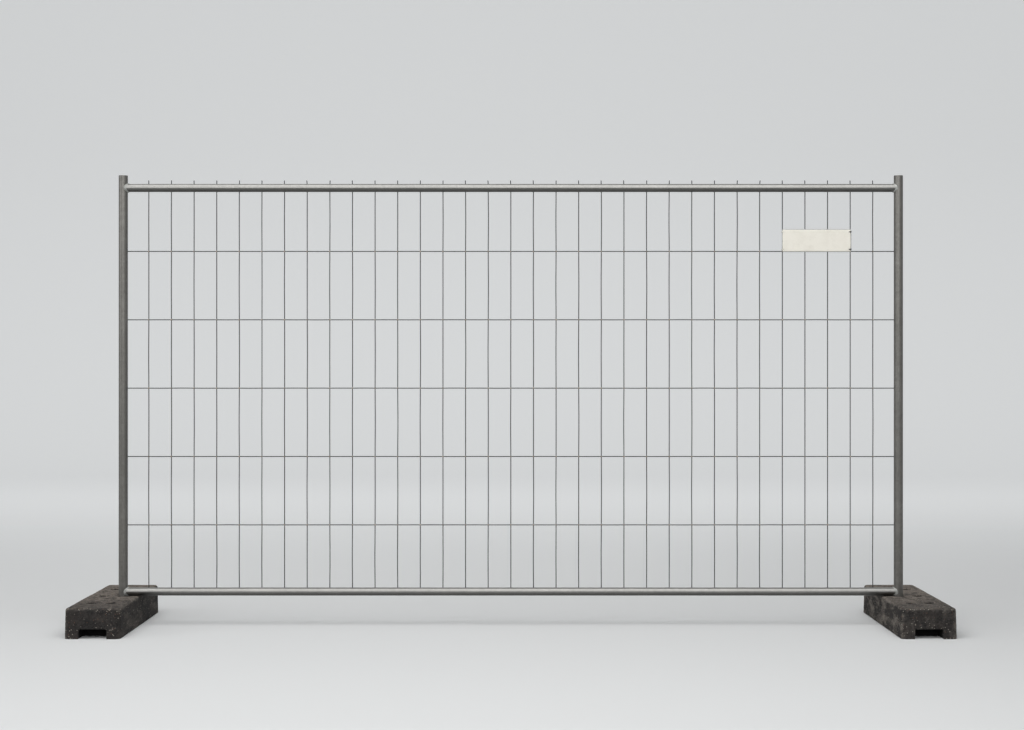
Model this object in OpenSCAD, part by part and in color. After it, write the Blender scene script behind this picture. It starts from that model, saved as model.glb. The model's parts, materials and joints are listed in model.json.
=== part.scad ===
// Temporary site fence panel: a welded tube frame filled with wire mesh,
// standing upright with its two posts in a pair of moulded block feet.
// X runs along the fence, Y across it, Z up. The origin lies on the ground,
// midway between the posts.

/* [Panel] */
// Width over the outsides of the two posts
panel_w = 3490; // [2200:1:3500]
// Height of the posts above the ground
panel_h = 2000; // [1100:10:2400]

/* [Posts] */
// Outside diameter of a post tube
post_d = 40; // [40:0.5:60]
// Wall of a post tube
post_wall = 1.5; // [1:0.1:3]

/* [Rails] */
// Outside diameter of a rail tube
rail_d = 36; // [25:0.5:39]
// Wall of a rail tube
rail_wall = 1.2; // [0.8:0.1:3]
// Distance from a post's top down to the top rail's axis
top_rail_drop = 55; // [40:1:120]
// Leg of the weld bead round the end of a rail
weld_leg = 4; // [2:0.5:6]
// Gap between the tops of the feet and the bottom rail above them
rail_foot_gap = 1; // [1:0.5:60]
// Gap between a weld bead and the mouth of the hole under it
weld_foot_gap = 1; // [0.5:0.5:3]

/* [Mesh] */
// Diameter of a vertical wire
vertical_wire_d = 4; // [3:0.1:6]
// Diameter of a horizontal wire
horizontal_wire_d = 4; // [3:0.1:6]
// Spacing of the vertical wires
vertical_pitch = 101; // [80:0.5:200]
// Spacing of the horizontal wires
horizontal_pitch = 305; // [150:1:400]
// Distance from the top rail's axis down to the uppermost horizontal wire
first_row_drop = 281; // [150:1:350]
// Height of the wire tips above the top rail
tip_rise = 18; // [5:1:40]
// Length of the wire tails below the bottom rail's axis
tail_drop = 10; // [5:1:15]

/* [Sign plate] */
// Height of the sign plate
sign_h = 102; // [60:1:140]
// Thickness of the sign plate
sign_t = 4; // [3:0.5:8]
// Thickness of the plate at its bevelled edge
sign_edge_t = 2.5; // [1:0.5:3]
// Width of the bevel along the plate's edge
sign_bevel_w = 5; // [2:0.5:6]
// Radius of the plate's corners
sign_corner_r = 8; // [2:0.5:12]
// How far the plate reaches past the wires that it is tied to
sign_reach = 3; // [2.5:0.5:6]
// Bays of the mesh that the plate covers
sign_bays = 3; // [2:1:6]
// Bays between the plate and the last vertical wire
sign_free_bays = 1; // [1:1:6]

/* [Cable ties] */
// Width of a tie's strap
tie_w = 3.6; // [2:0.1:4]
// Thickness of a tie's strap
tie_t = 1.2; // [0.8:0.1:1.6]
// Distance from the plate's top and bottom edges to the ties
tie_inset = 12; // [10:1:25]
// Gap all round a strap's corners in the plate's holes
tie_clearance = 0.6; // [0.3:0.1:1.5]
// Gap between a wire and the strap that goes down its inner side
tie_wire_gap = 3.5; // [2:0.5:6]
// Radius inside a tie's bends and on the corners of its locking head
tie_bend_r = 1; // [0.3:0.1:1]
// Width of a tie's locking head
tie_head_w = 6; // [4:0.5:6]
// Depth of a tie's locking head
tie_head_t = 4; // [3:0.5:6]
// Length of the trimmed tail that stands out of a tie's head
tie_tail = 2; // [1:0.5:6]

/* [Feet] */
// Length of a foot across the fence
foot_l = 700; // [560:5:900]
// Width of a foot on the ground
foot_w = 240; // [200:5:300]
// Height of a foot
foot_h = 130; // [100:5:160]
// How far each side leans in from bottom to top
foot_draft = 3; // [2:0.5:8]
// Radius of a foot's upright corners, on the ground
foot_corner_r = 20; // [17:1:40]
// Radius along a foot's top edges
foot_edge_r = 12; // [4:0.5:14]
// Gap all round a post in its hole
post_clearance = 0.9; // [0.5:0.1:3]
// Distance between the two columns of holes
hole_column_pitch = 84; // [70:1:110]
// Distance between the rows of holes
hole_row_pitch = 200; // [120:5:230]
// Width of the grip recess in each end
grip_w = 120; // [80:5:160]
// Height of the grip recess
grip_h = 40; // [25:1:60]
// Depth of the grip recess
grip_depth = 75; // [40:5:90]
// Radius of the upper corners of the grip recess
grip_corner_r = 3; // [1:0.5:12]

/* [Hidden] */
$fn = 64;
sides = [-1, 1];
// How far a cutting shape runs past what it cuts
overrun = 1;

post_r = post_d / 2;
rail_r = rail_d / 2;
post_x = panel_w / 2 - post_r;

// Heights of the rails
top_rail_z = panel_h - top_rail_drop;
bottom_rail_z = foot_h + rail_foot_gap + rail_r;

// The weld bead round a rail's end is a ring of sections along the saddle between the
// tubes. It stands a hair off both, so that its flat facets don't cut into their rounds.
weld_seat = 0.2;
weld_stations = 48;
weld_bulge_share = 0.25;
weld_post_r = post_r + weld_seat;
weld_rail_r = rail_r + weld_seat;
// Places along the bead's face, from its toe on the post to its toe on the rail
weld_face_shares = [0, 1 / 3, 2 / 3, 1];
weld_section_points = len(weld_face_shares) + 1;

// The upright wires lie on the backs of the rails, the cross wires in front of them
vertical_y = rail_r + vertical_wire_d / 2;
horizontal_y = vertical_y - vertical_wire_d / 2 - horizontal_wire_d / 2;
// The last wire each way stays at least this share of a pitch from the frame
mesh_margin_share = 1 / 2;
half_count = floor((post_x - post_r) / vertical_pitch - mesh_margin_share);
vertical_count = 2 * half_count + 1;
first_row_z = top_rail_z - first_row_drop;
row_span = first_row_z - bottom_rail_z - rail_r;
horizontal_count = 1 + floor(row_span / horizontal_pitch - mesh_margin_share);

// The plate hangs in front of the uppermost cross wire, tied to two upright wires
sign_right_x = (half_count - sign_free_bays) * vertical_pitch;
sign_left_x = sign_right_x - sign_bays * vertical_pitch;
sign_w = sign_right_x - sign_left_x + 2 * sign_reach;
sign_mid_x = (sign_left_x + sign_right_x) / 2;
sign_bottom_z = first_row_z - sign_reach;
sign_back_y = horizontal_y - horizontal_wire_d / 2;
sign_front_y = sign_back_y - sign_t;
// However wide the bevel is, the corners inside it keep this share of their radius
sign_corner_least_share = 1 / 8;
sign_tie_zs = [sign_bottom_z + tie_inset, sign_bottom_z + sign_h - tie_inset];

// A tie's loop goes round the plate's edge, round the wire and back through the plate
tie_outer_x = -sign_reach - tie_t;
tie_inner_x = vertical_wire_d / 2 + tie_wire_gap;
tie_back_y = vertical_y + vertical_wire_d / 2;
tie_hole_r = norm([tie_w, tie_t]) / 2 + tie_clearance;

// Holes of a foot: one column stands under the post, the other outside it
hole_r = post_r + post_clearance;
// The chamfer round a hole's mouth makes room for the weld bead under the bottom rail
hole_chamfer = weld_leg + weld_foot_gap;
foot_offset = hole_column_pitch / 2;
draft_angle = atan(foot_draft / foot_h);
// Centre of the arc along the top edge, measured out from the corner's axis
edge_centre_x = foot_corner_r
    - (foot_edge_r + (foot_h - foot_edge_r) * sin(draft_angle)) / cos(draft_angle);

function two_digits(i) = str(i < 10 ? "0" : "", i);
function vertical_name(i) = str("vertical_wire_", two_digits(i));
function horizontal_name(i) = str("horizontal_wire_", i);
function vertical_x(i) = (i - half_count - 1) * vertical_pitch;
function horizontal_z(i) = first_row_z - (i - 1) * horizontal_pitch;

// A round bar along X between two places
module bar_x(r, x_from, x_to) {
    translate([x_from, 0, 0])
        rotate([0, 90, 0])
            cylinder(h = x_to - x_from, r = r);
}

// A rectangle with round corners, its lower left corner at the origin
module rounded_square(size, r) {
    translate([r, 0])
        square([size.x - 2 * r, size.y]);
    translate([0, r])
        square([size.x, size.y - 2 * r]);
    for (x = [r, size.x - r], y = [r, size.y - r])
        translate([x, y])
            circle(r);
}

// The space that a post's outside fills, with some length to spare
module post_space(side) {
    translate([side * post_x, 0, -overrun])
        cylinder(h = panel_h + 2 * overrun, r = post_r);
}

// One post: a plain tube, open at both ends
module post(side) {
    color("#8d9093")
        translate([side * post_x, 0, 0])
            difference() {
                cylinder(h = panel_h, r = post_r);
                translate([0, 0, -overrun])
                    cylinder(h = panel_h + 2 * overrun, r = post_r - post_wall);
            }
}

// One rail: a tube whose ends are coped to sit round the posts
module rail(z) {
    color("#9b9ea1")
        difference() {
            translate([0, 0, z])
                difference() {
                    bar_x(rail_r, -post_x, post_x);
                    bar_x(rail_r - rail_wall, -post_x - overrun, post_x + overrun);
                }
            for (side = sides)
                post_space(side);
        }
}

// Points of the bead at an angle round the rail, seen from a post at the origin with
// the rail running away along +X
function saddle_x(a) = sqrt(pow(weld_post_r, 2) - pow(weld_rail_r * sin(a), 2));
function weld_root(a) = [saddle_x(a), weld_rail_r * sin(a), weld_rail_r * cos(a)];
function weld_rail_toe(a) = weld_root(a) + [weld_leg, 0, 0];
// The toe on the post lies one leg out from the saddle, measured on the post's surface
function weld_post_toe(a) =
    let (rise = cos(a) * weld_post_r / saddle_x(a),
         steep = norm([sin(a), rise]),
         arc = 360 * weld_leg / (2 * PI * weld_post_r),
         turn = asin(weld_rail_r * sin(a) / weld_post_r) + arc * sin(a) / steep)
    [weld_post_r * cos(turn), weld_post_r * sin(turn),
     weld_rail_r * cos(a) + weld_leg * rise / steep];
// The face between the toes swells outwards, away from the root
function weld_face(a, share) =
    let (chord = weld_post_toe(a) * (1 - share) + weld_rail_toe(a) * share,
         middle = (weld_post_toe(a) + weld_rail_toe(a)) / 2,
         outward = (middle - weld_root(a)) / norm(middle - weld_root(a)))
    chord + outward * weld_leg * weld_bulge_share * 4 * share * (1 - share);

// The bead round one end of a rail, following the saddle between the two tubes
module corner_weld(side, z) {
    points = [for (s = [0 : weld_stations - 1])
        let (a = 360 * s / weld_stations)
        each concat([weld_root(a)], [for (share = weld_face_shares) weld_face(a, share)])];
    function index(s, k) =
        (s % weld_stations) * weld_section_points + k % weld_section_points;
    faces = [for (s = [0 : weld_stations - 1], k = [0 : weld_section_points - 1])
        each [
            [index(s, k), index(s, k + 1), index(s + 1, k + 1)],
            [index(s, k), index(s + 1, k + 1), index(s + 1, k)]]];
    translate([side * post_x, 0, z])
        mirror([side > 0 ? 1 : 0, 0, 0])
            polyhedron(points, faces);
}

module corner_welds() {
    color("#b4b6b4")
        for (side = sides, z = [bottom_rail_z, top_rail_z])
            corner_weld(side, z);
}

// One upright wire, from behind the bottom rail to its free tip above the top rail
module vertical_wire(i) {
    bottom_z = bottom_rail_z - tail_drop;
    top_z = top_rail_z + rail_r + tip_rise;
    color("#6f7375")
        translate([vertical_x(i), vertical_y, bottom_z])
            cylinder(h = top_z - bottom_z, r = vertical_wire_d / 2);
}

// One cross wire, with both ends cut to the round of the posts
module horizontal_wire(i) {
    color("#84888a")
        difference() {
            translate([0, horizontal_y, horizontal_z(i)])
                bar_x(horizontal_wire_d / 2, -post_x, post_x);
            for (side = sides)
                post_space(side);
        }
}

// The four round corners of the sign plate's outline, drawn in by an inset all round
module sign_corners(inset) {
    corner_r = max(sign_corner_r - inset, sign_corner_r * sign_corner_least_share);
    for (x = sides, y = sides)
        translate([x * (sign_w / 2 - inset - corner_r), y * (sign_h / 2 - inset - corner_r)])
            circle(corner_r, $fn = 32);
}

// Where the ties go through the plate on its left or right side
module sign_tie_places(side) {
    for (z = sign_tie_zs)
        translate([side < 0 ? sign_left_x : sign_right_x, 0, z])
            mirror([side < 0 ? 0 : 1, 0, 0])
                children();
}

// The sign plate: a blank board whose front edge is bevelled all round
module sign_plate() {
    color("#e6e3da")
        difference() {
            translate([sign_mid_x, sign_back_y, sign_bottom_z + sign_h / 2])
                rotate([90, 0, 0])
                    hull() {
                        linear_extrude(sign_edge_t)
                            sign_corners(0);
                        linear_extrude(sign_t)
                            sign_corners(sign_bevel_w);
                    }
            for (side = sides)
                sign_tie_places(side)
                    translate([tie_inner_x + tie_t / 2, sign_back_y + overrun, 0])
                        rotate([90, 0, 0])
                            cylinder(h = sign_t + 2 * overrun, r = tie_hole_r);
        }
}

// A tie's locking head, standing out along +Z, with the trimmed tail that comes through it
module tie_head() {
    translate([0, -tie_head_w / 2])
        linear_extrude(tie_head_t)
            rounded_square([tie_head_w, tie_head_w], tie_bend_r);
    translate([(tie_head_w - tie_t) / 2, -tie_w / 2])
        linear_extrude(tie_head_t + tie_tail)
            square([tie_t, tie_w]);
}

// One cable tie round a left-hand wire, with its head in front of the plate or behind the wire
module tie(head_in_front) {
    loop = [tie_inner_x + tie_t - tie_outer_x, tie_back_y - sign_front_y + 2 * tie_t];
    head_x = tie_outer_x + tie_t + tie_bend_r;
    head_y = head_in_front ? sign_front_y - tie_t : tie_back_y + tie_t;
    translate([tie_outer_x, sign_front_y - tie_t, -tie_w / 2])
        linear_extrude(tie_w)
            difference() {
                rounded_square(loop, tie_bend_r + tie_t);
                translate([tie_t, tie_t])
                    rounded_square(loop - 2 * [tie_t, tie_t], tie_bend_r);
            }
    translate([head_x, head_y, 0])
        mirror([0, head_in_front ? 0 : 1, 0])
            rotate([90, 0, 0])
                tie_head();
}

// The heads lie in front on the plate's right side and behind on its left
module sign_ties() {
    color("#26292b")
        for (side = sides)
            sign_tie_places(side)
                tie(head_in_front = side > 0);
}

// Section of a foot's outer edge: a leaning side and a rounded top edge,
// measured out from the axis of the upright corners
module foot_edge_section() {
    side_x = edge_centre_x + foot_edge_r * cos(draft_angle);
    side_z = foot_h - foot_edge_r + foot_edge_r * sin(draft_angle);
    polygon([
        [0, 0],
        [foot_corner_r, 0],
        [side_x, side_z],
        [edge_centre_x, foot_h - foot_edge_r],
        [edge_centre_x, foot_h],
        [0, foot_h]]);
    intersection() {
        translate([edge_centre_x, foot_h - foot_edge_r])
            circle(foot_edge_r);
        polygon([
            [edge_centre_x, foot_h - foot_edge_r],
            [side_x, side_z],
            [side_x + foot_edge_r, side_z + foot_edge_r],
            [edge_centre_x, foot_h + foot_edge_r]]);
    }
}

// One straight side of a foot, standing along X with its face towards +Y
module foot_side(length) {
    translate([-length / 2, 0, 0])
        rotate([90, 0, 90])
            linear_extrude(length)
                foot_edge_section();
}

// The foot's block: a core with four leaning sides and four rounded corners
module foot_block() {
    core_w = foot_w - 2 * foot_corner_r;
    core_l = foot_l - 2 * foot_corner_r;
    translate([-core_w / 2, -core_l / 2, 0])
        cube([core_w, core_l, foot_h]);
    for (turn = [0, 180])
        rotate([0, 0, turn]) {
            translate([0, core_l / 2, 0])
                foot_side(core_w);
            translate([-core_w / 2, 0, 0])
                rotate([0, 0, 90])
                    foot_side(core_l);
            translate([core_w / 2, core_l / 2, 0])
                rotate_extrude(angle = 90)
                    foot_edge_section();
            translate([-core_w / 2, core_l / 2, 0])
                rotate([0, 0, 90])
                    rotate_extrude(angle = 90)
                        foot_edge_section();
        }
}

// One hole right through a foot, with a chamfer round its upper mouth
module foot_hole() {
    translate([0, 0, -overrun])
        cylinder(h = foot_h + 2 * overrun, r = hole_r);
    translate([0, 0, foot_h - hole_chamfer])
        cylinder(h = hole_chamfer + overrun, r1 = hole_r, r2 = hole_r + hole_chamfer + overrun);
}

// The space under one end of a foot where a hand or a fork takes hold
module grip_recess() {
    below = overrun + grip_corner_r;
    translate([-grip_w / 2, foot_l / 2 + overrun, -below])
        rotate([90, 0, 0])
            linear_extrude(grip_depth + overrun)
                rounded_square([grip_w, grip_h + below], grip_corner_r);
}

// One foot: a heavy moulded block with two columns of three holes
module foot(side) {
    color("#3a3734")
        translate([side * (post_x + foot_offset), 0, 0])
            difference() {
                foot_block();
                for (column = sides, row = [-1 : 1])
                    translate([column * hole_column_pitch / 2, row * hole_row_pitch, 0])
                        foot_hole();
                for (turn = [0, 180])
                    rotate([0, 0, turn])
                        grip_recess();
            }
}

module left_post() { post(-1); }
module right_post() { post(1); }
module top_rail() { rail(top_rail_z); }
module bottom_rail() { rail(bottom_rail_z); }
module left_foot() { foot(-1); }
module right_foot() { foot(1); }

left_post();
right_post();
top_rail();
bottom_rail();
corner_welds();
for (i = [1 : vertical_count])
    vertical_wire(i);
for (i = [1 : horizontal_count])
    horizontal_wire(i);
sign_plate();
sign_ties();
left_foot();
right_foot();
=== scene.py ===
"""Looks of a temporary site fence panel: galvanised tubes and mesh, a blank sign plate, moulded feet."""
import json
import math
import random

import bmesh
import bpy
from mathutils import Matrix, Vector, noise


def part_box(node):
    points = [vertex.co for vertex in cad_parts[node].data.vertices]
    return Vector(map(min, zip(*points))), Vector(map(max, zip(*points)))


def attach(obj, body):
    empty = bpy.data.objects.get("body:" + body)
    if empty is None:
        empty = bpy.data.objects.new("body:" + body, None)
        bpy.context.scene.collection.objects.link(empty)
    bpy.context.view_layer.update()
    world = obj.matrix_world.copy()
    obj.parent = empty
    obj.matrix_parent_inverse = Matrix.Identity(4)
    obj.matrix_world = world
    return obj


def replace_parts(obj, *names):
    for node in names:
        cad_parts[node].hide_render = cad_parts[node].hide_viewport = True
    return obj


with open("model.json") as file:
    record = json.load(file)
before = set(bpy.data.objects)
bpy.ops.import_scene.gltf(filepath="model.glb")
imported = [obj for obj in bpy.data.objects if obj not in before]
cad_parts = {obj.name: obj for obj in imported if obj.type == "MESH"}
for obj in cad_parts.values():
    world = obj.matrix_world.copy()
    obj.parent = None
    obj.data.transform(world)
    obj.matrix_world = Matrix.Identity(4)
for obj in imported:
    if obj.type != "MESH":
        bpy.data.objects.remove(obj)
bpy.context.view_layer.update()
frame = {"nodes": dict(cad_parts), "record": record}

MM = 0.001
MERGE_GAP = 0.001 * MM
SIDES = (-1, 1)
random.seed(7)

# Camera: level and straight on, where the photograph was taken from
CAMERA_PLACE = (0.0052, -6.7271, 1.1573)
LENS_MM = 53.13
SENSOR_MM = 36.0

# Studio: a floor that curves up into a far wall, a large soft light above, a wide one in front, a long
# strip between these two and a smaller one at the left
STAGE_HALF_W = 40.0
STAGE_FRONT_Y = -40.0
STAGE_CURVE_Y = 9.0
STAGE_CURVE_R = 4.0
STAGE_WALL_H = 8.0
STAGE_CURVE_STEPS = 24
OVERHEAD = {"place": (-0.3, -2.0, 5.2), "aim": (0.0, -0.2, 0.0), "size": (7.5, 4.2), "power": 222.0}
FRONT_FILL = {"place": (-1.0, -8.0, 3.4), "aim": (0.0, 0.0, 1.0), "size": (9.5, 2.6), "power": 148.0}
HIGH_STRIP = {"place": (0.0, -5.4, 4.3), "aim": (0.0, 0.0, 0.9), "size": (8.5, 1.4), "power": 78.0}
LEFT_FILL = {"place": (-9.5, -3.5, 3.2), "aim": (0.0, 0.0, 0.8), "size": (4.0, 4.0), "power": 140.0}

# Background: the sky as it lights and as it is seen, and the paper's glow, which rises with the distance
# behind the fence, and on the other sides the same way from further out
DAYLIGHT = "#f4f6f7"
SKY_STRENGTH = 0.30
BACKGROUND_STRENGTH = 0.69
PAPER_GLOW = 0.46
PAPER_GLOW_BEHIND = (-1.0, 7.0)
PAPER_GLOW_AROUND = 4.0

# Names of the pieces in the frame
POSTS = ("left_post", "right_post")
RAILS = ("top_rail", "bottom_rail")
FEET = ("left_foot", "right_foot")
VERTICALS = sorted(n for n in frame["nodes"] if n.startswith("vertical_wire"))
HORIZONTALS = sorted(n for n in frame["nodes"] if n.startswith("horizontal_wire"))


def middle(name):
    """Centre of a CAD piece's box."""
    low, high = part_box(name)
    return (low + high) / 2


def extent(name):
    """Length, depth and height of a CAD piece's box."""
    low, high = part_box(name)
    return high - low


POST_R = extent("left_post").x / 2
RAIL_R = extent("top_rail").z / 2
VERTICAL_R = extent(VERTICALS[0]).x / 2
RAIL_ZS = [middle(name).z for name in reversed(RAILS)]
ROW_ZS = [middle(name).z for name in reversed(HORIZONTALS)]
UPRIGHT_XS = [middle(name).x for name in VERTICALS]


# Helpers for meshes and materials

def linear(colour):
    """A hex sRGB colour as linear red, green, blue and alpha."""
    channels = [int(colour[i:i + 2], 16) / 255 for i in (1, 3, 5)]
    curve = [c / 12.92 if c <= 0.04045 else ((c + 0.055) / 1.055) ** 2.4 for c in channels]
    return (*curve, 1.0)


def add(tree, kind, inputs=None, **settings):
    """Adds a node with its settings; each input takes a value or another node's output."""
    made = tree.nodes.new(kind)
    for name, value in settings.items():
        setattr(made, name, value)
    for socket, value in (inputs or {}).items():
        if isinstance(value, bpy.types.NodeSocket):
            tree.links.new(value, made.inputs[socket])
        else:
            made.inputs[socket].default_value = value
    return made


def new_material(name, **surface):
    """A material with one Principled surface, its tree, that surface and the place on the object."""
    made = bpy.data.materials.new(name)
    made.use_nodes = True
    tree = made.node_tree
    tree.nodes.clear()
    shader = add(tree, "ShaderNodeBsdfPrincipled", {k.replace("_", " "): v for k, v in surface.items()})
    add(tree, "ShaderNodeOutputMaterial", {"Surface": shader.outputs["BSDF"]})
    place = add(tree, "ShaderNodeTexCoord").outputs["Object"]
    return made, tree, shader, place


def new_object(name, bm):
    """A bmesh as an object at the origin."""
    mesh = bpy.data.meshes.new(name)
    bm.to_mesh(mesh)
    bm.free()
    made = bpy.data.objects.new(name, mesh)
    bpy.context.scene.collection.objects.link(made)
    return made


def new_piece(name, bm, body, finish):
    """A finished mesh as a piece that rides on a body."""
    piece = new_object(name, bm)
    piece.data.materials.append(finish)
    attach(piece, body)
    return piece


def shade_smooth(bm):
    """Shades all faces smooth."""
    for face in bm.faces:
        face.smooth = True


# The sockets of a colour Mix node
MIX_FACTOR, MIX_A, MIX_B, MIX_RESULT = 0, 6, 7, 2


# Materials

def hot_dip_zinc(name, along, dark, light, smooth, streaks):
    """Hot-dip galvanised tube, some years old: an even dull metal grey, with a faint spangle and soft
    streaks along the tube, and painted shade on its underside: a darker colour on faces that point down.
    The stretch of the streaks gives the tube's direction, two tones its colour, and smooth is the roughness
    where the zinc is brightest."""
    made, tree, shader, place = new_material(name, Metallic=0.92)
    spangle = add(tree, "ShaderNodeTexVoronoi", {"Vector": place, "Scale": 1 / (11 * MM)})
    cell = add(tree, "ShaderNodeSeparateColor", {"Color": spangle.outputs["Color"]})
    zinc = add(tree, "ShaderNodeMix",
               {MIX_FACTOR: cell.outputs["Red"], MIX_A: linear(dark), MIX_B: linear(light)},
               data_type="RGBA")
    stretched = add(tree, "ShaderNodeMapping", {"Vector": place, "Scale": along})
    streak = add(tree, "ShaderNodeTexNoise",
                 {"Vector": stretched.outputs["Vector"], "Scale": 1 / (16 * MM), "Detail": 5.0})
    washed = add(tree, "ShaderNodeMapRange",
                 {"Value": streak.outputs["Fac"], "From Min": 0.4, "From Max": 0.7, "To Max": streaks})
    streaked = add(tree, "ShaderNodeMix",
                   {MIX_FACTOR: washed.outputs["Result"], MIX_A: zinc.outputs[MIX_RESULT],
                    MIX_B: linear("#5a5a59")}, data_type="RGBA")
    bloom = add(tree, "ShaderNodeTexNoise",
                {"Vector": place, "Scale": 1 / (150 * MM), "Detail": 6.0, "Roughness": 0.6})
    white = add(tree, "ShaderNodeMapRange",
                {"Value": bloom.outputs["Fac"], "From Min": 0.5, "From Max": 0.75, "To Max": 0.25})
    weathered = add(tree, "ShaderNodeMix",
                    {MIX_FACTOR: white.outputs["Result"], MIX_A: streaked.outputs[MIX_RESULT],
                     MIX_B: linear("#a19f9b")}, data_type="RGBA")
    # Painted shade: faces that point down are darkened towards #4d4d4b
    turned = add(tree, "ShaderNodeNewGeometry")
    facing = add(tree, "ShaderNodeSeparateXYZ", {"Vector": turned.outputs["Normal"]})
    below = add(tree, "ShaderNodeMapRange",
                {"Value": facing.outputs["Z"], "From Min": 0.05, "From Max": -0.45, "To Max": 0.8})
    underside_painted_shade = add(tree, "ShaderNodeMix",
                   {MIX_FACTOR: below.outputs["Result"], MIX_A: weathered.outputs[MIX_RESULT],
                    MIX_B: linear("#4d4d4b")}, data_type="RGBA")
    rough = add(tree, "ShaderNodeMapRange",
                {"Value": bloom.outputs["Fac"], "From Min": 0.3, "From Max": 0.7, "To Min": smooth,
                 "To Max": smooth + 0.06})
    grain = add(tree, "ShaderNodeTexNoise",
                {"Vector": place, "Scale": 1 / (4 * MM), "Detail": 4.0, "Roughness": 0.6})
    relief = add(tree, "ShaderNodeBump",
                 {"Height": grain.outputs["Fac"], "Strength": 0.1, "Distance": 0.3 * MM})
    tree.links.new(underside_painted_shade.outputs[MIX_RESULT], shader.inputs["Base Color"])
    tree.links.new(rough.outputs["Result"], shader.inputs["Roughness"])
    tree.links.new(relief.outputs["Normal"], shader.inputs["Normal"])
    return made


def wire_zinc():
    """Galvanised wire, drawn and then dipped: darker than the tubes, bright and dull in short stretches."""
    made, tree, shader, place = new_material("hot_dip_zinc_wire", Metallic=0.75, Roughness=0.55)
    stretch = add(tree, "ShaderNodeTexNoise",
                  {"Vector": place, "Scale": 1 / (45 * MM), "Detail": 4.0, "Roughness": 0.65})
    bright = add(tree, "ShaderNodeMapRange",
                 {"Value": stretch.outputs["Fac"], "From Min": 0.35, "From Max": 0.68})
    zinc = add(tree, "ShaderNodeMix",
               {MIX_FACTOR: bright.outputs["Result"], MIX_A: linear("#2a2b2c"),
                MIX_B: linear("#414243")}, data_type="RGBA")
    grain = add(tree, "ShaderNodeTexNoise", {"Vector": place, "Scale": 1 / (2 * MM), "Detail": 3.0})
    relief = add(tree, "ShaderNodeBump",
                 {"Height": grain.outputs["Fac"], "Strength": 0.3, "Distance": 0.2 * MM})
    tree.links.new(zinc.outputs[MIX_RESULT], shader.inputs["Base Color"])
    tree.links.new(relief.outputs["Normal"], shader.inputs["Normal"])
    return made


def weld_zinc(name, dark, light):
    """Zinc that has run together over a weld: paler and duller than the metal beside it, in two tones,
    with a brown tinge of rust here and there."""
    made, tree, shader, place = new_material(name, Metallic=0.5)
    cloud = add(tree, "ShaderNodeTexNoise",
                {"Vector": place, "Scale": 1 / (7 * MM), "Detail": 4.0, "Roughness": 0.6})
    bright = add(tree, "ShaderNodeMapRange",
                 {"Value": cloud.outputs["Fac"], "From Min": 0.35, "From Max": 0.65})
    zinc = add(tree, "ShaderNodeMix",
               {MIX_FACTOR: bright.outputs["Result"], MIX_A: linear(dark), MIX_B: linear(light)},
               data_type="RGBA")
    patch = add(tree, "ShaderNodeTexNoise", {"Vector": place, "Scale": 1 / (60 * MM), "Detail": 3.0})
    rust = add(tree, "ShaderNodeMapRange",
               {"Value": patch.outputs["Fac"], "From Min": 0.56, "From Max": 0.72, "To Max": 0.55})
    rusty = add(tree, "ShaderNodeMix",
                {MIX_FACTOR: rust.outputs["Result"], MIX_A: zinc.outputs[MIX_RESULT],
                 MIX_B: linear("#5d4a3d")}, data_type="RGBA")
    rough = add(tree, "ShaderNodeMapRange",
                {"Value": cloud.outputs["Fac"], "To Min": 0.7, "To Max": 0.45})
    relief = add(tree, "ShaderNodeBump",
                 {"Height": cloud.outputs["Fac"], "Strength": 0.4, "Distance": 0.4 * MM})
    tree.links.new(rusty.outputs[MIX_RESULT], shader.inputs["Base Color"])
    tree.links.new(rough.outputs["Result"], shader.inputs["Roughness"])
    tree.links.new(relief.outputs["Normal"], shader.inputs["Normal"])
    return made


def sign_board():
    """Off-white hard plastic board, moulded: a soft gloss, a greyer edge that is partly painted shade on the
    bevel, and a little grime in patches.
    """
    made, tree, shader, place = new_material("white_plastic_board")
    centre = middle("sign_plate")
    half = extent("sign_plate") / 2
    moved = add(tree, "ShaderNodeVectorMath", {0: place, 1: centre}, operation="SUBTRACT")
    away = add(tree, "ShaderNodeVectorMath", {0: moved.outputs["Vector"]}, operation="ABSOLUTE")
    axes = add(tree, "ShaderNodeSeparateXYZ", {"Vector": away.outputs["Vector"]})
    edge_x = add(tree, "ShaderNodeMath", {0: axes.outputs["X"], 1: half.x}, operation="SUBTRACT")
    edge_z = add(tree, "ShaderNodeMath", {0: axes.outputs["Z"], 1: half.z}, operation="SUBTRACT")
    edge = add(tree, "ShaderNodeMath", {0: edge_x.outputs[0], 1: edge_z.outputs[0]}, operation="MAXIMUM")
    # The bevelled rim is painted grey all round: partly the board's edge, partly painted shade of the bevel
    rim_grey_and_shade = add(tree, "ShaderNodeMapRange",
              {"Value": edge.outputs[0], "From Min": -4.5 * MM, "From Max": -1.0 * MM},
              interpolation_type="SMOOTHSTEP")
    grime = add(tree, "ShaderNodeTexNoise",
                {"Vector": place, "Scale": 1 / (55 * MM), "Detail": 6.0, "Roughness": 0.65})
    dirt = add(tree, "ShaderNodeMapRange",
               {"Value": grime.outputs["Fac"], "From Min": 0.48, "From Max": 0.8, "To Max": 0.5})
    field = add(tree, "ShaderNodeMix",
                {MIX_FACTOR: dirt.outputs["Result"], MIX_A: linear("#e9e5da"), MIX_B: linear("#cfc9bc")},
                data_type="RGBA")
    board = add(tree, "ShaderNodeMix",
                {MIX_FACTOR: rim_grey_and_shade.outputs["Result"], MIX_A: field.outputs[MIX_RESULT],
                 MIX_B: linear("#8f918f")}, data_type="RGBA")
    rough = add(tree, "ShaderNodeMapRange",
                {"Value": grime.outputs["Fac"], "To Min": 0.28, "To Max": 0.5})
    tree.links.new(board.outputs[MIX_RESULT], shader.inputs["Base Color"])
    tree.links.new(rough.outputs["Result"], shader.inputs["Roughness"])
    return made


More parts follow.
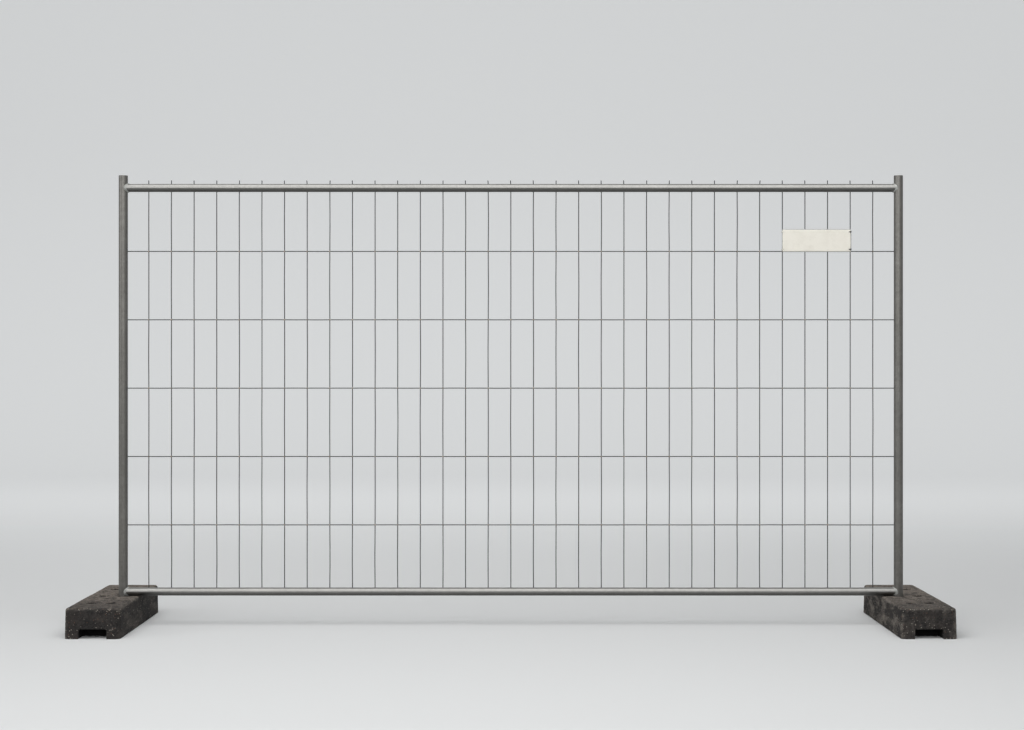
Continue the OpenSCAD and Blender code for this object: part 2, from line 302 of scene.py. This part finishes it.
def tie_nylon():
    """Nylon of the cable ties: black, greyed by the sun, at the plate's right, natural white at its left."""
    made, tree, shader, place = new_material("nylon_tie", Roughness=0.48)
    fading = add(tree, "ShaderNodeTexNoise", {"Vector": place, "Scale": 1 / (4 * MM), "Detail": 2.0})
    black = add(tree, "ShaderNodeMix",
                {MIX_FACTOR: fading.outputs["Fac"], MIX_A: linear("#161718"), MIX_B: linear("#2e3032")},
                data_type="RGBA")
    white = add(tree, "ShaderNodeMix",
                {MIX_FACTOR: fading.outputs["Fac"], MIX_A: linear("#cfccc0"), MIX_B: linear("#e6e3d8")},
                data_type="RGBA")
    axes = add(tree, "ShaderNodeSeparateXYZ", {"Vector": place})
    right = add(tree, "ShaderNodeMath", {0: axes.outputs["X"], 1: middle("sign_plate").x},
                operation="GREATER_THAN")
    nylon = add(tree, "ShaderNodeMix",
                {MIX_FACTOR: right.outputs[0], MIX_A: white.outputs[MIX_RESULT],
                 MIX_B: black.outputs[MIX_RESULT]}, data_type="RGBA")
    tree.links.new(nylon.outputs[MIX_RESULT], shader.inputs["Base Color"])
    return made


def recycled_granulate():
    """Foot moulded from recycled rubber and plastic chips: near black and rough, with a few pale and
    reddish chips, dust on top that is laid on more heavily towards the back, long sides that are scuffed
    paler, the right foot's more than the left's, partly as painted light from the left, and painted shade,
    near black, in its bores and recess."""
    made, tree, shader, place = new_material("recycled_rubber_granulate", Roughness=0.88,
                                             Specular_IOR_Level=0.25)
    chips = add(tree, "ShaderNodeTexVoronoi", {"Vector": place, "Scale": 1 / (5 * MM)})
    chip = add(tree, "ShaderNodeSeparateColor", {"Color": chips.outputs["Color"]})
    base = add(tree, "ShaderNodeMix",
               {MIX_FACTOR: chip.outputs["Red"], MIX_A: linear("#191818"), MIX_B: linear("#32302f")},
               data_type="RGBA")
    stain = add(tree, "ShaderNodeTexNoise",
                {"Vector": place, "Scale": 1 / (70 * MM), "Detail": 6.0, "Roughness": 0.68})
    stained = add(tree, "ShaderNodeMapRange",
                  {"Value": stain.outputs["Fac"], "From Min": 0.42, "From Max": 0.72, "To Max": 0.6})
    muddy = add(tree, "ShaderNodeMix",
                {MIX_FACTOR: stained.outputs["Result"], MIX_A: base.outputs[MIX_RESULT],
                 MIX_B: linear("#423b37")}, data_type="RGBA")
    turned = add(tree, "ShaderNodeNewGeometry")
    facing = add(tree, "ShaderNodeSeparateXYZ", {"Vector": turned.outputs["Normal"]})
    upward = add(tree, "ShaderNodeMapRange",
                 {"Value": facing.outputs["Z"], "From Min": 0.35, "From Max": 0.9})
    settled = add(tree, "ShaderNodeTexNoise",
                  {"Vector": place, "Scale": 1 / (20 * MM), "Detail": 6.0, "Roughness": 0.75})
    thick = add(tree, "ShaderNodeMapRange",
                {"Value": settled.outputs["Fac"], "From Min": 0.41, "From Max": 0.59, "To Min": 0.0,
                 "To Max": 1.2})
    lies = add(tree, "ShaderNodeMath", {0: upward.outputs["Result"], 1: thick.outputs["Result"]},
               operation="MULTIPLY")
    axes = add(tree, "ShaderNodeSeparateXYZ", {"Vector": place})
    # Dust is laid on more heavily towards the back: the tops get paler there
    more_towards_back = add(tree, "ShaderNodeMapRange",
                    {"Value": axes.outputs["Y"], "From Min": -0.25, "From Max": 0.15, "To Min": 0.36,
                     "To Max": 1.4})
    dust = add(tree, "ShaderNodeMath", {0: lies.outputs[0], 1: more_towards_back.outputs["Result"]},
               operation="MULTIPLY")
    dusty = add(tree, "ShaderNodeMix",
                {MIX_FACTOR: dust.outputs[0], MIX_A: muddy.outputs[MIX_RESULT],
                 MIX_B: linear("#756d65")}, data_type="RGBA")
    dragged = add(tree, "ShaderNodeMapping", {"Vector": place, "Scale": (1, 0.35, 0.9)})
    scrape = add(tree, "ShaderNodeTexNoise",
                 {"Vector": dragged.outputs["Vector"], "Scale": 1 / (42 * MM), "Detail": 6.0,
                  "Roughness": 0.7})
    wear = add(tree, "ShaderNodeAttribute", attribute_name="wear").outputs["Fac"]
    rubbed = add(tree, "ShaderNodeMath", {0: wear, 1: 0.08, 2: scrape.outputs["Fac"]},
                 operation="MULTIPLY_ADD")
    scraped = add(tree, "ShaderNodeMapRange",
                  {"Value": rubbed.outputs[0], "From Min": 0.47, "From Max": 0.63, "To Max": 0.85})
    sideways = add(tree, "ShaderNodeMath", {0: facing.outputs["X"]}, operation="ABSOLUTE")
    knocked = add(tree, "ShaderNodeMapRange", {"Value": sideways.outputs[0], "To Min": 0.18})
    # The right foot is made paler than the left: partly scuffs, partly painted light standing in for the
    # light that falls from the left
    right_foot_paler = add(tree, "ShaderNodeMapRange",
                  {"Value": axes.outputs["X"], "From Min": -1.0, "From Max": 1.0, "To Min": 0.4,
                   "To Max": 1.3})
    older = add(tree, "ShaderNodeMath", {0: knocked.outputs["Result"], 1: right_foot_paler.outputs["Result"]},
                operation="MULTIPLY")
    scuff = add(tree, "ShaderNodeMath", {0: scraped.outputs["Result"], 1: older.outputs[0]},
                operation="MULTIPLY")
    scuffed = add(tree, "ShaderNodeMix",
                  {MIX_FACTOR: scuff.outputs[0], MIX_A: dusty.outputs[MIX_RESULT],
                   MIX_B: linear("#78726b")}, data_type="RGBA")
    shape = add(tree, "ShaderNodeMapRange",
                {"Value": chips.outputs["Distance"], "From Min": 0.3, "From Max": 0.55,
                 "To Min": 0.9, "To Max": 0.0})
    red_chip = add(tree, "ShaderNodeMath", {0: chip.outputs["Blue"], 1: 0.97}, operation="GREATER_THAN")
    red = add(tree, "ShaderNodeMath", {0: red_chip.outputs[0], 1: shape.outputs["Result"]},
              operation="MULTIPLY")
    reddened = add(tree, "ShaderNodeMix",
                   {MIX_FACTOR: red.outputs[0], MIX_A: scuffed.outputs[MIX_RESULT],
                    MIX_B: linear("#5c4438")}, data_type="RGBA")
    crumbly = add(tree, "ShaderNodeMapRange",
                  {"Value": stain.outputs["Fac"], "From Min": 0.35, "From Max": 0.7, "To Max": 0.08})
    bared = add(tree, "ShaderNodeMath", {0: wear, 1: 0.1, 2: crumbly.outputs["Result"]},
                operation="MULTIPLY_ADD")
    showing = add(tree, "ShaderNodeMath", {0: bared.outputs[0], 1: chip.outputs["Green"]},
                  operation="ADD")
    pale_chip = add(tree, "ShaderNodeMath", {0: showing.outputs[0], 1: 0.985}, operation="GREATER_THAN")
    pale = add(tree, "ShaderNodeMath", {0: pale_chip.outputs[0], 1: shape.outputs["Result"]},
               operation="MULTIPLY")
    speckled = add(tree, "ShaderNodeMix",
                   {MIX_FACTOR: pale.outputs[0], MIX_A: reddened.outputs[MIX_RESULT],
                    MIX_B: linear("#989288")}, data_type="RGBA")
    grain = add(tree, "ShaderNodeTexNoise",
                {"Vector": place, "Scale": 1 / (4 * MM), "Detail": 5.0, "Roughness": 0.65})
    relief = add(tree, "ShaderNodeBump",
                 {"Height": grain.outputs["Fac"], "Strength": 0.7, "Distance": 1.0 * MM})
    chip_relief = add(tree, "ShaderNodeBump",
                      {"Height": chips.outputs["Distance"], "Strength": 0.3, "Distance": 0.8 * MM,
                       "Normal": relief.outputs["Normal"]})
    # Painted shade: where the foot marks its bores and recess, the colour goes to near black
    painted_hollow_shade = add(tree, "ShaderNodeAttribute", attribute_name="painted_hollow_shade").outputs["Fac"]
    shade_in_hollows = add(tree, "ShaderNodeMix",
               {MIX_FACTOR: painted_hollow_shade, MIX_A: speckled.outputs[MIX_RESULT], MIX_B: linear("#060606")},
               data_type="RGBA")
    tree.links.new(shade_in_hollows.outputs[MIX_RESULT], shader.inputs["Base Color"])
    tree.links.new(chip_relief.outputs["Normal"], shader.inputs["Normal"])
    return made


def shown_rays(tree):
    """One for the rays that see the background: straight, in a reflection or through something."""
    path = add(tree, "ShaderNodeLightPath")
    seen = add(tree, "ShaderNodeMath",
               {0: path.outputs["Is Camera Ray"], 1: path.outputs["Is Glossy Ray"]}, operation="MAXIMUM")
    shown = add(tree, "ShaderNodeMath",
                {0: seen.outputs[0], 1: path.outputs["Is Transmission Ray"]}, operation="MAXIMUM")
    return shown.outputs[0]


def studio_paper():
    """Pale paper of floor and wall: dimmer in what it bounces than to the eye. The far wall and the floor
    far out glow a little, so that they look as pale as the floor under the lights."""
    made, tree, shader, place = new_material("pale_studio_paper", Roughness=0.9)
    shown = shown_rays(tree)
    paper = add(tree, "ShaderNodeMix",
                {MIX_FACTOR: shown, MIX_A: linear("#8f9192"), MIX_B: linear("#d6d7d7")},
                data_type="RGBA")
    axes = add(tree, "ShaderNodeSeparateXYZ", {"Vector": place})
    far = add(tree, "ShaderNodeVectorMath", {0: place}, operation="LENGTH")
    around = add(tree, "ShaderNodeMath", {0: far.outputs["Value"], 1: PAPER_GLOW_AROUND},
                 operation="SUBTRACT")
    out = add(tree, "ShaderNodeMath", {0: axes.outputs["Y"], 1: around.outputs[0]}, operation="MAXIMUM")
    near, full = PAPER_GLOW_BEHIND
    lit = add(tree, "ShaderNodeMapRange",
              {"Value": out.outputs[0], "From Min": near, "From Max": full, "To Max": PAPER_GLOW},
              interpolation_type="SMOOTHSTEP")
    glow = add(tree, "ShaderNodeMath", {0: shown, 1: lit.outputs["Result"]}, operation="MULTIPLY")
    shader.inputs["Emission Color"].default_value = linear(DAYLIGHT)
    tree.links.new(paper.outputs[MIX_RESULT], shader.inputs["Base Color"])
    tree.links.new(glow.outputs[0], shader.inputs["Emission Strength"])
    return made


# Pieces

# The welds at the rails' ends: how far they reach along the rail and onto the post, how deep they sit in
# the tubes' walls, the step from one ripple to the next, how much ripples and lumps swell them, and how far
# they stay above the foot
BEAD_ON_RAIL = 7.5 * MM
BEAD_ON_POST = 2.8 * MM
BEAD_ROOT = 0.6 * MM
BEAD_CROWN_STEPS = 6
BEAD_CROWN_POWER = 1.4
BEAD_RIPPLE = 4.0 * MM
BEAD_RIPPLES = round(2 * math.pi * POST_R / BEAD_RIPPLE)
BEAD_STEPS_PER_RIPPLE = 4
BEAD_RIPPLE_SHARE = 0.07
BEAD_LUMP = 12 * MM
BEAD_LUMP_SHARE = 0.25
BEAD_OVER_FOOT = 1.0 * MM


def bead_ring(bm):
    """A plain ring round the X axis with a weld bead's section: X is its reach along the rail, and what
    its radius has over the rail's is its reach onto the post. Returns the ring's vertices."""
    first = len(bm.verts)
    outline = [(-BEAD_ROOT, BEAD_ON_POST), (-BEAD_ROOT, -BEAD_ROOT), (BEAD_ON_RAIL, -BEAD_ROOT)]
    for i in range(1, BEAD_CROWN_STEPS):
        angle = math.pi / 2 * i / BEAD_CROWN_STEPS
        on_rail = BEAD_ON_RAIL * math.cos(angle) ** BEAD_CROWN_POWER
        on_post = BEAD_ON_POST * math.sin(angle) ** BEAD_CROWN_POWER
        outline.append((on_rail, on_post))
    section = [bm.verts.new((on_rail, 0, RAIL_R + on_post)) for on_rail, on_post in outline]
    edges = [bm.edges.new(pair) for pair in zip(section, section[1:] + section[:1])]
    bmesh.ops.spin(bm, geom=section + edges, cent=(0, 0, 0), axis=(1, 0, 0), angle=2 * math.pi,
                   steps=BEAD_RIPPLES * BEAD_STEPS_PER_RIPPLE, use_merge=True)
    bm.verts.ensure_lookup_table()
    return bm.verts[first:]


def corner_beads(zinc):
    """Weld beads round the ends of the rails: flat fillets that follow the saddle between the tubes, with
    one ripple for each stop of the torch. None reaches down to the foot below it."""
    bm = bmesh.new()
    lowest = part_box("left_foot")[1].z + BEAD_OVER_FOOT
    for post in POSTS:
        for rail in RAILS:
            cross = Vector((middle(post).x, 0, middle(rail).z))
            along = Vector((-math.copysign(1, cross.x), 0, 0))
            for vert in bead_ring(bm):
                angle = math.atan2(vert.co.y, vert.co.z)
                out = Vector((0, math.sin(angle), math.cos(angle)))
                seam = out * RAIL_R + along * math.sqrt(POST_R ** 2 - (RAIL_R * out.y) ** 2)
                post_out = Vector((seam.x, seam.y, 0)).normalized()
                on_post = (out - post_out * out.dot(post_out)).normalized()
                lump = BEAD_LUMP_SHARE * noise.noise((cross + seam) / BEAD_LUMP)
                swell = 1 + lump + BEAD_RIPPLE_SHARE * math.sin(BEAD_RIPPLES * angle)
                reach = math.hypot(vert.co.y, vert.co.z) - RAIL_R
                vert.co = cross + seam + (along * vert.co.x + on_post * reach) * swell
                vert.co.z = max(vert.co.z, lowest)
    bmesh.ops.recalc_face_normals(bm, faces=bm.faces)
    shade_smooth(bm)
    piece = new_piece("corner_beads", bm, "panel", zinc)
    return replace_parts(piece, "corner_welds")


# The weld spots: their half sizes where wires cross, on a rail and at a post, how much they differ in size
# and turn, and the faces round and along one
SPOT_CROSSING = (4.0 * MM, 2.7 * MM, 3.2 * MM)
SPOT_RAIL = (3.2 * MM, 1.7 * MM, 5.5 * MM)
SPOT_POST = (5.0 * MM, 2.6 * MM, 2.6 * MM)
SPOT_SIZES = (0.85, 1.15)
SPOT_TURN = 0.3
SPOT_MERIDIANS = 8
SPOT_BANDS = 5


def add_spot(bm, place, radii):
    """One weld spot: a flattened drop of metal, each a little different."""
    sizes = [r * random.uniform(*SPOT_SIZES) for r in radii]
    turn = Matrix.Rotation(random.uniform(-SPOT_TURN, SPOT_TURN), 4, "Y")
    where = Matrix.Translation(place) @ turn @ Matrix.Diagonal((*sizes, 1))
    bmesh.ops.create_uvsphere(bm, u_segments=SPOT_MERIDIANS, v_segments=SPOT_BANDS, radius=1,
                              matrix=where)


def mesh_weld_spots(zinc):
    """Resistance-weld spots where wires cross each other, lie on the rails and end at the posts."""
    bm = bmesh.new()
    touch_y = middle(VERTICALS[0]).y - VERTICAL_R
    cross_y = middle(HORIZONTALS[0]).y
    for x in UPRIGHT_XS:
        for z in ROW_ZS:
            add_spot(bm, Vector((x, cross_y, z)), SPOT_CROSSING)
        for z in RAIL_ZS:
            add_spot(bm, Vector((x, touch_y, z)), SPOT_RAIL)
    for horizontal in HORIZONTALS:
        place = middle(horizontal)
        reach = math.sqrt(POST_R ** 2 - place.y ** 2)
        for post in POSTS:
            x = middle(post).x
            add_spot(bm, Vector((x - math.copysign(reach, x), place.y, place.z)), SPOT_POST)
    shade_smooth(bm)
    return new_piece("mesh_weld_spots", bm, "panel", zinc)


# The wires: how far they bow between their welds, the cuts that let them, and how far their free tips lean
UPRIGHT_BOW = 1.1 * MM
UPRIGHT_CUTS = 4
CROSS_BOW = 0.5 * MM
CROSS_CUTS = 2
TIP_LEAN = 2.0 * MM
SHARP_ANGLE = math.radians(30)


def cad_copy(name):
    """A copy of a CAD piece's mesh, with its loose triangles joined."""
    bm = bmesh.new()
    bm.from_mesh(frame["nodes"][name].data)
    bmesh.ops.remove_doubles(bm, verts=bm.verts, dist=MERGE_GAP)
    return bm


def stretches(welds, most):
    """The stretches of a wire between its welds, each with the bow that it has in the middle."""
    return [(low, high, random.uniform(-most, most)) for low, high in zip(welds, welds[1:])]


def bow(place, spans):
    """How far a wire lies to one side at a place along it."""
    for low, high, most in spans:
        if low < place < high:
            return most * math.sin(math.pi * (place - low) / (high - low)) ** 2
    return 0.0


def cut_across(bm, axis, spans, cuts):
    """Cuts a bar square to its axis at each weld and a few times between."""
    for low, high, most in spans:
        for i in range(cuts + 1):
            at = low + (high - low) * i / (cuts + 1)
            parts = bm.verts[:] + bm.edges[:] + bm.faces[:]
            bmesh.ops.bisect_plane(bm, geom=parts, dist=MERGE_GAP, plane_co=axis * at, plane_no=axis)


def round_bar(bm):
    """Shades a bar smooth along its sides and sharp at its cut ends."""
    shade_smooth(bm)
    for edge in bm.edges:
        edge.smooth = edge.calc_face_angle(0) < SHARP_ANGLE


def upright_wire(name, metal):
    """An upright wire that bows a little between its welds, or stays straight if it carries the plate."""
    bm = cad_copy(name)
    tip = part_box(name)[1].z
    low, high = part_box("sign_plate")
    straight = low.x < middle(name).x < high.x
    welds = [RAIL_ZS[0], *ROW_ZS, RAIL_ZS[1], tip]
    sideways = stretches(welds[:-1], 0 if straight else UPRIGHT_BOW)
    backwards = stretches(welds[:-1], 0 if straight else UPRIGHT_BOW / 2)
    lean = random.uniform(-TIP_LEAN, TIP_LEAN)
    cut_across(bm, Vector((0, 0, 1)), stretches(welds, 0), UPRIGHT_CUTS)
    for vert in bm.verts:
        z = vert.co.z
        free = max(z - RAIL_ZS[1], 0) / (tip - RAIL_ZS[1])
        vert.co.x += bow(z, sideways) + lean * free ** 2
        vert.co.y += bow(z, backwards)
    round_bar(bm)
    piece = new_piece(name.replace("vertical", "upright"), bm, "panel", metal)
    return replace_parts(piece, name)


def cross_wire(name, metal):
    """A cross wire that bows a little between the upright wires."""
    bm = cad_copy(name)
    spans = stretches(UPRIGHT_XS, CROSS_BOW)
    cut_across(bm, Vector((1, 0, 0)), spans, CROSS_CUTS)
    for vert in bm.verts:
        vert.co.z += bow(vert.co.x, spans)
    round_bar(bm)
    piece = new_piece(name.replace("horizontal", "cross"), bm, "panel", metal)
    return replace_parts(piece, name)


# The feet: how their moulded skin is worn, as depths and as the widths of what wears them, the part of the
# noise that makes pits and chips, what keeps its form round the holes and at the base, and where and how
# darkly shade is painted into the bores and the recess
FOOT_VOXEL = 3.3 * MM
FOOT_WAVE = 90 * MM
FOOT_WAVE_DEPTH = 0.8 * MM
FOOT_GRAIN = 8 * MM
FOOT_GRAIN_DEPTH = 0.45 * MM
FOOT_PIT = 12 * MM
FOOT_PIT_DEPTH = 2.0 * MM
FOOT_PIT_NOISE = (0.42, 0.7)
FOOT_CHIP = 16 * MM
FOOT_CHIP_DEPTH = 3.5 * MM
FOOT_CHIP_NOISE = (0.2, 0.7)
FOOT_EDGE_REACH = 18 * MM
FOOT_HOLE_CLEAR = (28 * MM, 40 * MM)
FOOT_FLAT_Z = 3 * MM
FOOT_BORE_SHADE_REACH = (21 * MM, 25 * MM)
FOOT_INSIDE = (8 * MM, 24 * MM)
BORE_PAINTED_SHADE = 0.35
RECESS_PAINTED_SHADE = 0.97


def foot_holes(name):
    """Axes of a foot's holes: those that the record lists as bores, and the one that its post fills."""
    side = name.split("_")[0]
    bores = [m for m in frame["record"]["mounts"] if m["kind"] == "bore" and m["name"].startswith(side)]
    post = middle(side + "_post")
    return [m["pos_m"][:2] for m in bores] + [(post.x, post.y)]


def even_mesh(bm, voxel):
    """The same closed shape with faces of one even size."""
    helper = new_object("even_mesh", bm)
    remesh = helper.modifiers.new("even_faces", "REMESH")
    remesh.mode = "VOXEL"
    remesh.voxel_size = voxel
    seen = helper.evaluated_get(bpy.context.evaluated_depsgraph_get())
    made = bmesh.new()
    made.from_mesh(seen.to_mesh())
    bpy.data.objects.remove(helper)
    return made


def smooth_step(value, low, high):
    """Zero below low, one above high, and a soft rise between."""
    share = min(max((value - low) / (high - low), 0), 1)
    return share * share * (3 - 2 * share)


def worn_foot(name, rubber):
    """A moulded foot after years on site: a slightly wavy, grainy, pitted skin and crumbled edges. The
    holes and the base keep their true form. Its bores and recess are marked for painted shade."""
    low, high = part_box(name)
    centre = (low + high) / 2
    holes = foot_holes(name)
    bm = even_mesh(cad_copy(name), FOOT_VOXEL)
    wear = bm.verts.layers.float.new("wear")
    painted_hollow_shade = bm.verts.layers.float.new("painted_hollow_shade")
    bm.normal_update()
    moves = []
    for vert in bm.verts:
        place = vert.co
        from_side = high.x - centre.x - abs(place.x - centre.x)
        from_end = high.y - abs(place.y)
        depths = sorted((from_side, from_end, high.z - place.z))
        edge = 1 - smooth_step(depths[1], 0, FOOT_EDGE_REACH)
        hole = min(math.hypot(place.x - x, place.y - y) for x, y in holes)
        free = smooth_step(hole, *FOOT_HOLE_CLEAR) * smooth_step(place.z, 0, FOOT_FLAT_Z)
        wave = FOOT_WAVE_DEPTH * noise.noise(place / FOOT_WAVE)
        grain = FOOT_GRAIN_DEPTH * noise.noise(place / FOOT_GRAIN)
        pit = FOOT_PIT_DEPTH * smooth_step(noise.noise(place / FOOT_PIT), *FOOT_PIT_NOISE)
        crumbled = smooth_step(noise.noise(place / FOOT_CHIP), *FOOT_CHIP_NOISE)
        chip = FOOT_CHIP_DEPTH * edge * crumbled
        moves.append(vert.normal * free * (wave + grain - pit - chip))
        vert[wear] = edge
        # Painted shade: the bores and the recess inside the foot are marked for the material to darken
        bore = BORE_PAINTED_SHADE * (1 - smooth_step(hole, *FOOT_BORE_SHADE_REACH))
        shade_in_recess = RECESS_PAINTED_SHADE * smooth_step(depths[0], *FOOT_INSIDE) * smooth_step(hole, *FOOT_HOLE_CLEAR)
        vert[painted_hollow_shade] = max(bore, shade_in_recess)
    for vert, move in zip(bm.verts, moves):
        vert.co += move
    shade_smooth(bm)
    piece = new_piece(name + "_moulding", bm, name, rubber)
    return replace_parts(piece, name)


def verts_of(geom):
    """The vertices in what an operator returns."""
    return [part for part in geom if isinstance(part, bmesh.types.BMVert)]


def edges_of(geom):
    """The edges in what an operator returns."""
    return [part for part in geom if isinstance(part, bmesh.types.BMEdge)]


def studio(paper):
    """Floor and back wall in one sheet, with a wide curve between them."""
    bm = bmesh.new()
    ends = [bm.verts.new((side * STAGE_HALF_W, STAGE_FRONT_Y, 0)) for side in SIDES]
    front = bm.edges.new(ends)
    floor = bmesh.ops.extrude_edge_only(bm, edges=[front])["geom"]
    bmesh.ops.translate(bm, verts=verts_of(floor), vec=(0, STAGE_CURVE_Y - STAGE_FRONT_Y, 0))
    curve = bmesh.ops.spin(bm, geom=verts_of(floor) + edges_of(floor), axis=(1, 0, 0), angle=math.pi / 2,
                           cent=(0, STAGE_CURVE_Y, STAGE_CURVE_R), steps=STAGE_CURVE_STEPS)["geom_last"]
    wall = bmesh.ops.extrude_edge_only(bm, edges=edges_of(curve))["geom"]
    bmesh.ops.translate(bm, verts=verts_of(wall), vec=(0, 0, STAGE_WALL_H))
    bmesh.ops.recalc_face_normals(bm, faces=bm.faces)
    shade_smooth(bm)
    sheet = new_object("studio_sheet", bm)
    sheet.data.materials.append(paper)


def soft_light(name, place, aim, size, power):
    """One rectangular soft light aimed at a point."""
    lamp = bpy.data.lights.new(name, "AREA")
    lamp.shape = "RECTANGLE"
    lamp.size, lamp.size_y = size
    lamp.energy = power
    holder = bpy.data.objects.new(name, lamp)
    holder.location = place
    holder.rotation_euler = (Vector(aim) - Vector(place)).to_track_quat("-Z", "Y").to_euler()
    bpy.context.scene.collection.objects.link(holder)


def sky():
    """An even world that fills the shadows, paler where it is seen as the background."""
    world = bpy.data.worlds.new("pale_sky")
    world.use_nodes = True
    tree = world.node_tree
    level = add(tree, "ShaderNodeMapRange",
                {"Value": shown_rays(tree), "To Min": SKY_STRENGTH, "To Max": BACKGROUND_STRENGTH})
    back = tree.nodes["Background"]
    back.inputs["Color"].default_value = linear(DAYLIGHT)
    tree.links.new(level.outputs["Result"], back.inputs["Strength"])
    bpy.context.scene.world = world


def camera():
    """The photograph's viewpoint."""
    lens = bpy.data.cameras.new("viewpoint")
    lens.lens = LENS_MM
    lens.sensor_width = SENSOR_MM
    holder = bpy.data.objects.new("viewpoint", lens)
    holder.location = CAMERA_PLACE
    holder.rotation_euler = (math.pi / 2, 0, 0)
    bpy.context.scene.collection.objects.link(holder)
    bpy.context.scene.camera = holder


def dress(name, made):
    """Gives a CAD piece its finish."""
    for holder in frame["nodes"][name].material_slots:
        holder.material = made


camera()
sky()
soft_light("overhead_light", **OVERHEAD)
soft_light("front_fill", **FRONT_FILL)
soft_light("high_strip", **HIGH_STRIP)
soft_light("left_fill", **LEFT_FILL)
studio(studio_paper())

# Lit and shaded copies of one zinc: the rails' is painted lighter than the posts' so that it shows a
# brighter highlight (painted light); the rails are also smoother
shaded_post_zinc = hot_dip_zinc("hot_dip_zinc_post", along=(1, 1, 0.05), dark="#6a6864", light="#73716d",
                         smooth=0.40, streaks=0.3)
lit_rail_zinc = hot_dip_zinc("hot_dip_zinc_rail", along=(0.05, 1, 1), dark="#82817e", light="#898885",
                         smooth=0.28, streaks=0.15)
wire = wire_zinc()
bead_zinc = weld_zinc("zinc_over_weld_bead", "#7d7e7b", "#a9aaa6")
spot_zinc = weld_zinc("burnt_zinc_at_weld_spot", "#8b7d70", "#b5a99b")
rubber = recycled_granulate()
for name in POSTS:
    dress(name, shaded_post_zinc)
for name in RAILS:
    dress(name, lit_rail_zinc)
for name in VERTICALS:
    upright_wire(name, wire)
for name in HORIZONTALS:
    cross_wire(name, wire)
dress("sign_plate", sign_board())
dress("sign_ties", tie_nylon())
for name in FEET:
    worn_foot(name, rubber)
corner_beads(bead_zinc)
mesh_weld_spots(spot_zinc)

bpy.context.scene.view_settings.view_transform = "Standard"
